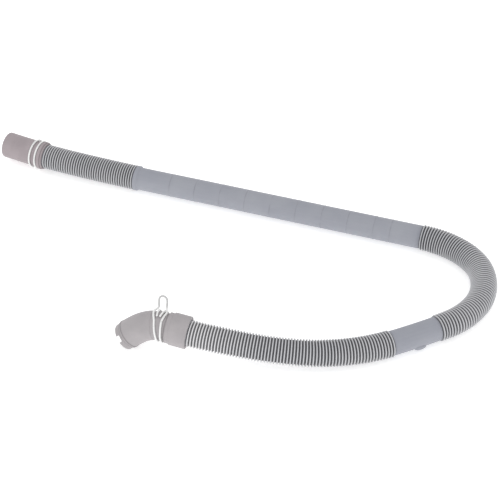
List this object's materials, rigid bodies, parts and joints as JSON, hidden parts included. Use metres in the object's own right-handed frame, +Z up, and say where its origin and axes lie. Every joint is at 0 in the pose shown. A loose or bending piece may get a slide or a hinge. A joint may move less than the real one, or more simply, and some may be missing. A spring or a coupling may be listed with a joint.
{
  "type": "drain hose",
  "caption": "Corrugated washing-machine drain hose lying in a U, with a straight rubber cuff, a rubber elbow cuff and double-wire spring clips.",
  "frame": {"origin": "on the surface that the hose lies on, under the middle of its box", "axes": "+X along the long plain stretch from the straight cuff to the turn, +Z up"},
  "size_m": [0.5861, 0.2862, 0.0584],
  "materials": {
    "tube_plastic": "satin grey polypropylene",
    "cuff_rubber": "matt warm grey rubber",
    "clip_wire": "white coated spring wire"
  },
  "bodies": {
    "root": {"hose": "tube_plastic", "straight_cuff": "cuff_rubber", "elbow_cuff": "cuff_rubber", "straight_cuff_clip": "clip_wire", "elbow_cuff_clip": "clip_wire"}
  },
  "joints": []
}
